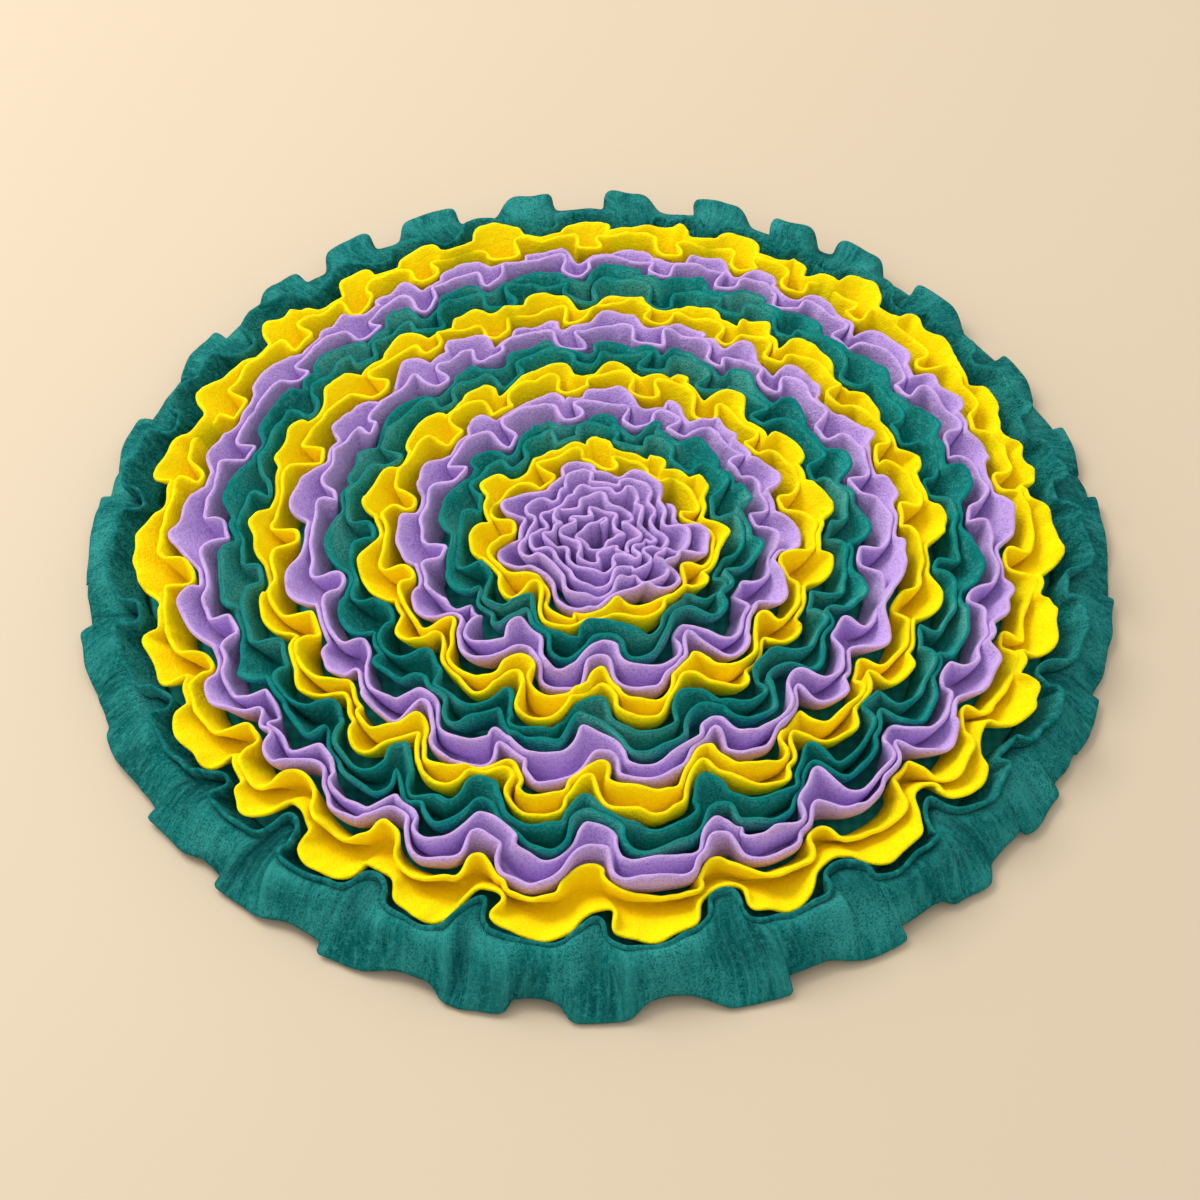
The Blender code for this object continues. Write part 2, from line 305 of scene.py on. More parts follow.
# Columns of a strip: its two lines read at the same places round the mat, evenly along their mean length
def readColumns(lineA, lineB):
    grid = np.linspace(0, 1, fleece["readings"])
    length = 0
    turns = [smoothTurn(*line[:2]) for line in (lineA, lineB)]
    for line, turn in zip((lineA, lineB), turns):
        gx, gy = (np.interp(grid, turn, v, period=1) for v in line[:2])
        length = length + np.append(0, np.cumsum(np.hypot(np.diff(gx), np.diff(gy)))) / 2
    count = int(length[-1] / fleece["column"])
    columns = np.interp(np.arange(count) * length[-1] / count, length, grid)
    lines = [[np.interp(columns, turn, v, period=1) for v in line]
             for line, turn in zip((lineA, lineB), turns)]
    return *lines, length[-1]


# Smooth shifts in space shared by all strips, so that neighbours lean together
lean = {
    "twist": 0.0016,
    "twistLength": 0.036,
    "core": 0.03,
    "sideways": 0.8,    # share of a wave that shifts across its direction, and along it
    "lengthways": 0.3,
    "waves": (          # size, wavelength, direction in degrees, phase, how much of it is only at the top
        (0.0016, 0.061, 20, 0.3, 0.6),
        (0.0014, 0.047, 105, 1.9, 0.6),
        (0.0010, 0.029, 63, 4.1, 0.9),
        (0.0010, 0.026, 150, 2.2, 0.9),
        (0.0006, 0.017, 8, 5.0, 1.0),
        (0.0006, 0.015, 95, 0.7, 1.0),
    ),
}


def leaned(x, y, z):
    radius, angle = np.hypot(x, y), np.arctan2(y, x)
    shift = lean["twist"] * np.sin(fullTurn * radius / lean["twistLength"] + 2 * angle)
    angle = angle + shift / np.maximum(radius, lean["core"])
    x, y = radius * np.cos(angle), radius * np.sin(angle)
    height = np.clip((z - fleece["seamHeight"]) / (fleece["ruffleTop"] - fleece["seamHeight"]), 0, 1)
    movedX, movedY = x.copy(), y.copy()
    for size, length, degrees, phase, topShare in lean["waves"]:
        direction = math.radians(degrees)
        along = x * math.cos(direction) + y * math.sin(direction)
        wave = size * np.sin(fullTurn * along / length + phase) * (1 - topShare + topShare * height ** 1.5)
        sine, cosine = math.sin(direction), math.cos(direction)
        movedX += wave * -sine * lean["sideways"] + wave * cosine * lean["lengthways"]
        movedY += wave * cosine * lean["sideways"] + wave * sine * lean["lengthways"]
    return movedX, movedY, z


# Uneven height of a cut edge, read at the strip's own columns
def edgeRise(count, length, seed, size):
    uneven = np.random.default_rng(seed)
    rise = np.zeros(count)
    for wavelength, share in edgeWaves["lengths"]:
        noise = ringBlur(uneven.standard_normal(count), wavelength / 4 / length * count)
        rise += share * noise / max(noise.std(), 1e-9)
    return size * rise


def stripFaces(rowCount, columnCount, closed, first=0):
    faces = []
    last = columnCount if closed else columnCount - 1
    for r in range(rowCount - 1):
        for c in range(last):
            after = (c + 1) % columnCount
            corners = (r * columnCount + c, r * columnCount + after,
                       (r + 1) * columnCount + after, (r + 1) * columnCount + c)
            faces.append(tuple(first + corner for corner in corners))
    return faces


# Turns a grid of points into fleece: rows run along the strip, and widths say how far each is from its seam
def fleeceSheet(name, rows, widths, closed, along, relief=None):
    rowCount, columnCount = rows.shape[0], rows.shape[1]
    faces = stripFaces(rowCount, columnCount, closed)
    mesh = bpy.data.meshes.new(name)
    mesh.from_pydata(rows.reshape(-1, 3).tolist(), [], faces)
    spread = np.append(along, along[-1] + along[1])
    spread = np.stack((spread[:-1], spread[1:], spread[1:], spread[:-1]), -1)
    spread = spread[:len(faces) // (rowCount - 1)]
    layer = mesh.uv_layers.new(name="cloth")
    layout = [np.stack((spread, np.tile((low, low, high, high), (len(spread), 1))), -1)
              for low, high in zip(widths, widths[1:])]
    layer.data.foreach_set("uv", np.array(layout).ravel())
    # the relief map holds how far each point stands out, from which the finish paints a highlight on ridges
    # and a shade in valleys
    if relief is not None:
        ahead = np.roll(relief, -1, axis=1)
        depths = np.stack((relief[:-1], ahead[:-1], ahead[1:], relief[1:]), -1)
        layer = mesh.uv_layers.new(name="relief")
        layer.data.foreach_set("uv", np.stack((depths, np.zeros_like(depths)), -1).ravel())
    piece = bpy.data.objects.new(name, mesh)
    bpy.context.scene.collection.objects.link(piece)
    bpy.ops.object.select_all(action="DESELECT")
    piece.select_set(True)
    bpy.context.view_layer.objects.active = piece
    thicken = piece.modifiers.new("thickness", "SOLIDIFY")
    thicken.thickness = fleece["thickness"]
    thicken.offset = 0
    thicken.edge_crease_rim = fleece["creaseRim"]
    soften = piece.modifiers.new("softEdge", "SUBSURF")
    soften.levels = soften.render_levels = 1
    for modifier in ("thickness", "softEdge"):
        bpy.ops.object.modifier_apply(modifier=modifier)
    bpy.ops.object.shade_smooth()
    return piece


# From the seam to the cut edge: upright at the front, leaning out elsewhere; the ripple grows to the edge
def wallRows(seam, top, rise, steps, stand=1):
    seamX, seamY = seam
    topX, topY, *ripple = top
    rippleX, rippleY = ripple or (0, 0)
    angle = np.arctan2(topY, topX)
    upright = stand * around(angle, pleats["upright"], pleats["sharp"])
    belly = stand * around(angle, pleats["belly"], pleats["sharp"])
    grid = []
    for u in steps:
        out = upright * (1 - (1 - u) ** 2.2) + (1 - upright) * u
        flat = out * (1 - u ** 1.5)
        height = fleece["seamHeight"] + (rise - fleece["seamHeight"]) * u ** (1 + 0.2 * upright)
        swell = belly * math.sin(math.pi * u)
        x = seamX + out * (topX - seamX) - flat * rippleX + swell * np.cos(angle)
        y = seamY + out * (topY - seamY) - flat * rippleY + swell * np.sin(angle)
        grid.append(leaned(x, y, height))
    return grid


# Ring strips from the centre out, on the radii and with the folds of the solids
rings = [
    {"node": "ring_02_yellow", "colour": "yellow",
     "panel": 0.0590, "gap": 0.0058, "folds": 8, "front": 6.35},
    {"node": "ring_03_teal", "colour": "teal",
     "panel": 0.0752, "gap": 0.0064, "folds": 11, "front": 6.10},
    {"node": "ring_04_purple", "colour": "purple",
     "panel": 0.0930, "gap": 0.0066, "folds": 13, "front": 6.25},
    {"node": "ring_05_yellow", "colour": "yellow",
     "panel": 0.1103, "gap": 0.0062, "folds": 15, "front": 6.00},
    {"node": "ring_06_teal", "colour": "teal",
     "panel": 0.1277, "gap": 0.0064, "folds": 17, "front": 5.90},
    {"node": "ring_07_purple", "colour": "purple",
     "panel": 0.1455, "gap": 0.0066, "folds": 19, "front": 6.10},
    {"node": "ring_08_yellow", "colour": "yellow",
     "panel": 0.1622, "gap": 0.0060, "folds": 21, "front": 6.00},
    {"node": "ring_09_teal", "colour": "teal",
     "panel": 0.1797, "gap": 0.0064, "folds": 23, "front": 5.95},
    {"node": "ring_10_purple", "colour": "purple",
     "panel": 0.1972, "gap": 0.0066, "folds": 25, "front": 6.05},
    {"node": "ring_11_yellow", "colour": "yellow",
     "panel": 0.2182, "gap": 0.0092, "folds": 27, "front": 5.95,
     "flare": (0.0065, 0, 0), "droop": (0.0050, 0.0015, 0), "lean": (0.0140, 0.0030, 0), "upright": 0.2,
     "outer": "petals", "rippled": 1.3},
]


# Folds of one line moved some of the way to the nearest folds of another
def matchedFolds(folds, others, shares):
    moved = []
    for fold in folds:
        ways = [(other["angle"] - fold["angle"] + math.pi) % fullTurn - math.pi for other in others]
        way = min(ways, key=abs) * around(fold["angle"], shares, pleats["sharp"])
        moved.append({**fold, "angle": fold["angle"] + way, "middle": fold["middle"] + way})
    return moved


# The inner wall has the ring's own folds, and the outer wall makes room for the folds of the next ring
def makeRing(number, ring, folds, nextFolds, limit):
    cloth = fleece["thickness"]
    flare = ring.get("flare", (0, 0, 0))
    rippled = ring.get("rippled", pleats["rippled"])
    corners = wallCorners(folds, ring["panel"] - ring["gap"] - cloth / 2, "inner", number)
    corners[:, 1] += 0.1 * around(corners[:, 0], flare)
    x, y, *ripple = roundLine(corners, 100 + number, rippled=rippled)
    inner = [*clearedLine(*drawnLine(x, y, limit), limit), *ripple]
    if "outer" not in ring:
        nextFolds = matchedFolds(nextFolds, folds, pleats["matched"])
    corners = wallCorners(nextFolds, ring["panel"] - cloth / 2, ring.get("outer", "outer"), number)
    corners[:, 1] += around(corners[:, 0], flare)
    x, y, *ripple = roundLine(corners, 200 + number, rippled=rippled)
    outer = [*clearedLine(x, y, grownReach(*inner[:2])), *ripple]
    grownLimit = grownReach(*outer[:2])

    inner, outer, length = readColumns(inner, outer)
    count = len(inner[0])
    middleX, middleY = (inner[0] + outer[0]) / 2, (inner[1] + outer[1]) / 2
    seam = seamLine(middleX, middleY, length, ring.get("lean", (0, 0, 0)))
    steps = fleece["rows"]
    edge = fleece["ruffleTop"] - edgeWaves["ringDrop"]
    tops = [edge + edgeRise(count, length, 10 * number + side, edgeWaves["ring"]) for side in (0, 1)]
    droop = around(np.arctan2(outer[1], outer[0]), ring.get("droop", (0, 0, 0)))
    upright = ring.get("upright", 1)
    innerRows = wallRows(seam, inner, tops[0] - droop * 0.6, steps, upright)
    outerRows = wallRows(seam, outer, tops[1] - droop, steps, upright)
    grid = np.array([np.stack(row, -1) for row in innerRows[:0:-1] + outerRows])
    half = fleece["halfWidth"]
    strips.append({
        "name": ring["node"].replace("ring", "strip"),
        "node": ring["node"],
        "colour": ring["colour"],
        "rows": grid,
        "widths": [-half * u for u in steps[:0:-1]] + [half * u for u in steps],
        "closed": True,
        "along": np.arange(count) * length / count,
    })
    return grownLimit


# The sewn-down line keeps a share of the folds, and the cloth is gathered evenly on it
def seamLine(x, y, length, more=(0, 0, 0)):
    radius, angle = np.hypot(x, y), np.unwrap(np.arctan2(y, x))
    count = len(x)
    even = np.arange(count) * fullTurn / count
    swing = ringBlur(angle - angle[0] - even, sewing["swing"] / length * count) + angle[0] + even
    mean = ringBlur(radius, sewing["mean"] / length * count)
    near = ringBlur(radius, sewing["near"] / length * count)
    foot = mean + pleats["seamFolds"] * (near - mean)
    leanOut = around(angle, pleats["leanOut"], pleats["sharp"])
    foot = foot - leanOut * np.minimum(1, foot / sewing["coreRadius"]) - around(angle, more)
    return foot * np.cos(swing), foot * np.sin(swing)


def makeStrip(strip):
    parts = [strip[key] for key in ("name", "rows", "widths", "closed", "along")]
    piece = fleeceSheet(*parts, strip.get("relief"))
    half = max(strip["widths"])
    piece.data.materials.append(clothFinish(strip["colour"], half, strip.get("brushed", False)))
    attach(piece, "root")
    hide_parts(strip["node"])
    strip["colour"] + "_fleece"


# Centre: one strip wound on edge into a rosette with ears
rosette = {
    "start": 0.0040,
    "end": 0.0435,
    "turns": 6.1,
    "ears": 7,
    "ear": 0.0095,           # how far an ear of the outer turn stands out
    "pinch": 0.0030,         # how much an ear is drawn in at its neck
    "hollow": 0.0028,        # how far the cloth falls in between two ears
    "foot": 0.80,
    "dome": 0.0012,
    "tuck": 0.0120,          # how far the outer end of the strip is pushed down
    "tuckLength": 0.016,
    "width": 0.026,
    "column": 0.0020,
    "wander": ((0.13, 2, 1), (0.09, 3, 2)),    # how unevenly the ears stand: size, waves in a turn, phase
    "growth": 1.2,
    "beatSize": 0.25,
    "earPower": 2.2,
    "footShape": (0.65, 0.35),                 # shares of the plain spiral and of the crumpled one
    "calmRadius": 0.038,                       # crumples fade towards this radius, over this way
    "calmWay": 0.018,
    "calmLeast": 0.12,
    "crumples": (            # size, wavelength, direction in degrees, phase
        (0.0026, 0.0170, 10, 0.4),
        (0.0024, 0.0155, 100, 2.0),
        (0.0012, 0.0100, 55, 1.1),
    ),
}


def makeRosette():
    share = np.linspace(0, 1, 9000)
    angle = fullTurn * rosette["turns"] * share
    radius = rosette["start"] + (rosette["end"] - rosette["start"]) * share
    wander = angle
    for swing, waves, phase in rosette["wander"]:
        wander = wander + swing * np.sin(waves * angle + phase)
    beat = rosette["ears"] * wander
    size = share ** rosette["growth"] * (1 + rosette["beatSize"] * np.sin(angle * 1.7))
    ear = (0.5 + 0.5 * np.cos(beat)) ** rosette["earPower"]
    top = radius + size * (rosette["ear"] * ear - rosette["hollow"] * (1 - ear))
    turned = angle + size * rosette["pinch"] * np.sin(2 * beat) / radius
    x, y = crumpled(top * np.cos(turned), top * np.sin(turned))
    length = np.append(0, np.cumsum(np.hypot(np.diff(x), np.diff(y))))
    count = int(length[-1] / rosette["column"])
    even = np.linspace(0, length[-1], count)
    x, y, angle, radius = (np.interp(even, length, v) for v in (x, y, angle, radius))
    plain, crumple = rosette["footShape"]
    footX, footY = (rosette["foot"] * (plain * foot + crumple * v)
                    for foot, v in ((radius * np.cos(angle), x), (radius * np.sin(angle), y)))
    uneven = edgeRise(count, length[-1], 5, edgeWaves["rosette"])
    rise = fleece["ruffleTop"] - rosette["dome"] * even / length[-1] + uneven
    rise = rise - rosette["tuck"] * np.clip(1 - (length[-1] - even) / rosette["tuckLength"], 0, 1) ** 1.5
    steps = fleece["rows"]
    grid = np.array([np.stack(row, -1) for row in wallRows((footX, footY), (x, y), rise, steps)])
    half = rosette["width"]
    strips.append({
        "name": "strip_01_purple",
        "node": "rosette_purple",
        "colour": "purple",
        "rows": grid,
        "widths": [half * u for u in steps],
        "closed": False,
        "along": even,
    })
    outside = even > length[-1] - fullTurn * rosette["end"] * 1.5
    return grownReach(x[outside], y[outside])


# Sideways waves, one after another, crumple the turns
def crumpled(x, y):
    for size, length, degrees, phase in rosette["crumples"]:
        fading = (rosette["calmRadius"] - np.hypot(x, y)) / rosette["calmWay"]
        share = np.clip(fading, rosette["calmLeast"], 1)
        direction = math.radians(degrees)
        wave = x * math.cos(direction) + y * math.sin(direction)
        wave = share * size * np.sin(fullTurn * wave / length + phase)
        x, y = x - wave * math.sin(direction), y + wave * math.cos(direction)
    return x, y


# Outer flounce: a standing wall, and a half that rolls over it and flares down and outwards
flounce = {
    "rimRadius": (0.2245, 0.2325, 0.2260),
    "rimRoom": (-0.0004, 0.0035, 0.0010),         # how much more way the rim leaves to the ring inside it
    "rimTop": (0.0230, 0.0228, 0.0225),
    "shoulder": (0.95, 0.40, 0.65),         # how high up the rim wall the outer half turns over
    "hemRadius": (0.2472, 0.2458, 0.2458),
    "hemRound": (0.0048, 0.0016, 0.0030),
    "hemRipple": 0.35,
    "tip": (0.0250, 0.0160, 0.0250),        # how wide a flute is, at its neck too, and how far it comes out
    "neck": (0.0180, 0.0130, 0.0190),
    "out": (0.0085, 0.0042, 0.0060),
    "trail": (0.3, 0.85, 0.3),              # how far a flute runs on over the panel after it
    "skew": (0.0080, 0.0012, 0.0030),
    "fluteHeight": (0.0013, 0.0048, 0.0185),
    "panelHeight": (0.0050, 0.0014, 0.0070),
    "panelDent": (0.0045, 0.0004, 0.0030),
    "behind": (0.0004, 0.0030, 0.0027),     # from the rim wall's middle to the outer half's
    "seamInset": 0.985,
    "wallShares": (0.28, 0.55, 0.80),       # rows up the back of the rim wall, then down to the hem
    "skirtShares": (0.12, 0.30, 0.50, 0.70, 0.87, 1),
    "outerShares": (0.16, 0.32, 0.44, 0.53, 0.62, 0.72, 0.82, 0.92, 1),   # of the half width, for each
    "lift": 0.0024,                         # how far the skirt bulges up on its way
    "liftRun": 1.3,
    "fall": 1.3,
    "handOver": 0.65,                       # how soon the rim's folds give way to the hem's
    "smooth": 0.010,
    # the next three set the painted light on the flounce's folds: a painted highlight on ridges and a painted
    # shade in valleys, weaker on the rim wall
    "reliefSmooth": 1.3,
    "reliefDepth": 0.004,                   # how deep a fold is that is painted fully pale or dark
    "rimPaintedLightShare": 0.3,
}


# The hem comes out in a flute under each fold of the rim, steep on its side towards the back
def hemCorners(folds):
    uneven = random.Random(9)
    corners = []
    for before, fold in zip(folds[-1:] + folds, folds):
        angle, middle = fold["angle"], fold["middle"]
        radius = around(angle, flounce["hemRadius"]) - fleece["thickness"] / 2
        way = 1 if math.cos(angle) < 0 else -1
        space = (middle - angle if way > 0 else (angle - before["middle"]) % fullTurn) * 2
        wide = uneven.uniform(0.75, 1.3) / radius
        tip, neck = (around(angle, flounce[part]) * wide / 2 for part in ("tip", "neck"))
        out = around(angle, flounce["out"]) * uneven.uniform(0.8, 1.1)
        skew = around(angle, flounce["skew"]) * uneven.choice((-1, -0.5, 0.6, 1)) / radius
        fluteHeight = around(angle, flounce["fluteHeight"])
        panelHeight = around(angle, flounce["panelHeight"])
        trail = around(angle, flounce["trail"])
        run = trail * (space - 2 * neck)
        flute = [
            (-neck, uneven.uniform(-0.001, 0.001), panelHeight),
            (skew - tip, out * uneven.uniform(0.9, 1.1), fluteHeight),
            (skew + tip + 0.2 * run, out * uneven.uniform(0.8, 1), fluteHeight),
            (neck + 0.7 * run, out * 0.4 * trail, panelHeight),
        ]
        placed = [(angle + way * shift, radius + reach, height) for shift, reach, height in flute]
        corners += placed[::way]
        dent = around(middle, flounce["panelDent"]) * uneven.random()
        panel = ((-0.25, 0.0012), (uneven.uniform(-0.1, 0.1), 0.0015 - dent), (0.3, 0.0010))
        for shift, reach in panel:
            reach = radius + reach + uneven.uniform(-0.0008, 0.0008)
            corners.append((middle + (middle - angle) * shift, reach, panelHeight))
    return np.array(corners)


def makeFlounce(folds, limit):
    corners = wallCorners(folds, flounce["rimRadius"][0] + fleece["thickness"] / 2, "rim", 77)
    corners[:, 1] += around(corners[:, 0], flounce["rimRadius"]) - flounce["rimRadius"][0]
    x, y, *ripple = roundLine(corners, 77)
    room = around(np.arange(len(limit)) * fullTurn / len(limit), flounce["rimRoom"])
    rim = [*clearedLine(*drawnLine(x, y, limit), limit + room), *ripple]
    hem = roundLine(hemCorners(folds), 78, flounce["hemRound"], flounce["hemRipple"])
    rim, hem, length = readColumns(rim, hem)
    rimX, rimY = rim[:2]
    hemX, hemY, hemHeight = hem[0], hem[1], hem[4]
    count = len(rimX)
    angle = np.arctan2(hemY, hemX)
    seam = seamLine(rimX * flounce["seamInset"], rimY * flounce["seamInset"], length)

    # outside of the rim wall, then over the shoulder to the hem
    rise = around(angle, flounce["rimTop"]) + edgeRise(count, length, 5, edgeWaves["flounce"])
    steps = fleece["rows"]
    grid = wallRows(seam, rim, rise, steps)[::-1]
    turn = around(angle, flounce["shoulder"])
    shoulder = fleece["seamHeight"] + turn * (rise - fleece["seamHeight"])
    upright = around(angle, pleats["upright"], pleats["sharp"])
    reached = upright * (1 - (1 - turn) ** 2.2) + (1 - upright) * turn
    backX, backY = (foot + reached * (edge - foot) for foot, edge in zip(seam, rim))
    dx, dy = ringSlope(backX), ringSlope(backY)
    size = np.hypot(dx, dy) / around(angle, flounce["behind"])
    backX, backY = backX + dy / size, backY - dx / size
    for u in flounce["wallShares"]:
        out = 1 - (1 - u) ** 2
        height = fleece["seamHeight"] + (shoulder - fleece["seamHeight"]) * u
        grid.append(leaned(seam[0] + out * (backX - seam[0]), seam[1] + out * (backY - seam[1]), height))
    wide = flounce["smooth"] / length * count
    smooth = [ringBlur(v, wide) for v in (backX, backY, hemX, hemY, hemHeight)]
    for u in flounce["skirtShares"]:
        early, late = (1 - u) ** flounce["handOver"], u ** flounce["handOver"]
        lift = flounce["lift"] * math.sin(math.pi * min(1, u * flounce["liftRun"]))
        x = smooth[0] + u * (smooth[2] - smooth[0]) + early * (backX - smooth[0]) + late * (hemX - smooth[2])
        y = smooth[1] + u * (smooth[3] - smooth[1]) + early * (backY - smooth[1]) + late * (hemY - smooth[3])
        fallen = (smooth[4] - shoulder) * u ** flounce["fall"]
        height = shoulder + fallen + lift + late * (hemHeight - smooth[4])
        grid.append(leaned(x, y, height))
    grid = np.array([np.stack(row, -1) for row in grid])
    # relief: how far each point stands out from its smoothed line, from which the finish paints a highlight
    # on ridges and a shade in valleys
    radius = np.hypot(grid[..., 0], grid[..., 1])
    blurred = wide * flounce["reliefSmooth"]
    depths = [(row - ringBlur(row, blurred)) / flounce["reliefDepth"] for row in radius]
    relief = np.clip(np.array(depths), -1, 1)
    relief[:len(steps)] *= flounce["rimPaintedLightShare"]
    half = fleece["halfWidth"]
    strips.append({
        "name": "strip_12_teal",
        "node": "flounce_teal",
        "colour": "teal",
        "rows": grid,
        "widths": [-half * u for u in steps[::-1]] + [half * u for u in flounce["outerShares"]],
        "closed": True,
        "along": np.arange(count) * length / count,
        "relief": relief,
        "brushed": True,
    })


def ringSlope(values):
    return np.roll(values, -1) - np.roll(values, 1)


# Small wrapper, so that shader maths reads as plain expressions
class Sock:
    def __init__(self, tree, socket):
        self.tree, self.socket = tree, socket

    def maths(self, operation, a, b=None):
        values = [a] if b is None else [a, b]
        return addNode(self.tree, "ShaderNodeMath", {"operation": operation}, dict(enumerate(values)))

    def __add__(self, other):
        return self.maths("ADD", self, other)

    def __radd__(self, other):
        return self.maths("ADD", other, self)

    def __sub__(self, other):
        return self.maths("SUBTRACT", self, other)

    def __rsub__(self, other):
        return self.maths("SUBTRACT", other, self)

    def __mul__(self, other):
        return self.maths("MULTIPLY", self, other)

    def __rmul__(self, other):
        return self.maths("MULTIPLY", other, self)

    def __truediv__(self, other):
        return self.maths("DIVIDE", self, other)

    def __abs__(self):
        return self.maths("ABSOLUTE", self)


def addNode(tree, kind, settings, inputs, output=0):
    node = tree.nodes.new(kind)
    for key, value in settings.items():
        setattr(node, key, value)
    for key, value in inputs.items():
        if isinstance(value, Sock):
            tree.links.new(value.socket, node.inputs[key])
        else:
            node.inputs[key].default_value = value
    return Sock(tree, node.outputs[output])


def mixColour(tree, factor, a, b):
    return addNode(tree, "ShaderNodeMix", {"data_type": "RGBA"}, {0: factor, 6: a, 7: b}, 2)


def stretch(tree, value, limits):
    settings = {"interpolation_type": "SMOOTHSTEP"}
    return addNode(tree, "ShaderNodeMapRange", settings, {0: value, 1: limits[0], 2: limits[1]})


# Where each layer of a fleece finish begins and is full, and how strong it is
pile = {
    "edge": (0.955, 0.995),
    "edgeShare": 0.8,
    # painted seam shading: full near the seam, where shade falls between the walls, and gone towards the cut
    # edge
    "low": (0.75, 0.25),
    "seamShadingShare": 0.7,
    "pale": (0.46, 0.68),
    "dark": (0.50, 0.32),
    "darkShare": 0.7,
    "tufts": (0.45, 0.70),
    "tuftShare": 0.45,
    "felt": (0.55, 0.35),
    "nap": (0.40, 0.70),
    "napShare": 0.5,
    # painted highlight on the ridges of the brushed flounce, and painted shade in its valleys
    "ridgeHighlight": (0.1, 1.0),
    "ridgeHighlightShare": 0.5,
    "valleyShade": (0.0, -0.9),
    "valleyShadeShare": 0.4,
    "patchScale": 30,
    "tuftScale": 420,
    "feltScale": 1100,
    "napScale": 260,
}

# In each finish the second colour is painted near the seam, where shade falls between the walls: a painted
# orange shade on yellow, and a painted lighter tone that lifts the shade on teal, purple and the brushed teal
finishes = {
    # In each finish the fourth colour is the pale patches and tufts, and on the brushed teal also the painted
    # highlight on ridges; the fifth is the dark patches and fibres, and on the brushed teal also the painted
    # shade in valleys
    "yellow": {
        "face": (1.000, 0.770, 0.001, 1),
        "deep": (1.000, 0.680, 0.002, 1),
        "edge": (0.970, 0.740, 0.004, 1),
        "hazeAndRidgeHighlight": (1.000, 0.780, 0.010, 1),
        "fibreAndValleyShade": (0.950, 0.600, 0.001, 1),
        "grain": 0.45,
        "patchy": 0.15,
        "sheen": 0,
        "through": 0.35,
    },
    "teal": {
        "face": (0.010, 0.295, 0.272, 1),
        "deep": (0.012, 0.480, 0.440, 1),
        "edge": (0.002, 0.180, 0.172, 1),
        "hazeAndRidgeHighlight": (0.100, 0.400, 0.350, 1),
        "fibreAndValleyShade": (0.001, 0.110, 0.108, 1),
        "grain": 0.7,
        "patchy": 0.75,
        "sheen": 0.06,
        "through": 0,
    },
    "purple": {
        "face": (0.590, 0.420, 0.825, 1),
        "deep": (0.680, 0.480, 0.880, 1),
        "edge": (0.540, 0.370, 0.730, 1),
        "hazeAndRidgeHighlight": (0.620, 0.420, 0.770, 1),
        "fibreAndValleyShade": (0.360, 0.200, 0.600, 1),
        "grain": 0.7,
        "patchy": 0.3,
        "sheen": 0.12,
        "through": 0.3,
    },
    "brushed": {
        "face": (0.001, 0.132, 0.129, 1),
        "deep": (0.002, 0.220, 0.210, 1),
        "edge": (0.001, 0.130, 0.128, 1),
        "hazeAndRidgeHighlight": (0.036, 0.320, 0.300, 1),
        "fibreAndValleyShade": (0.001, 0.040, 0.042, 1),
        "grain": 0.8,
        "patchy": 0.75,
        "sheen": 0.04,
        "through": 0,
    },
}
made = {}


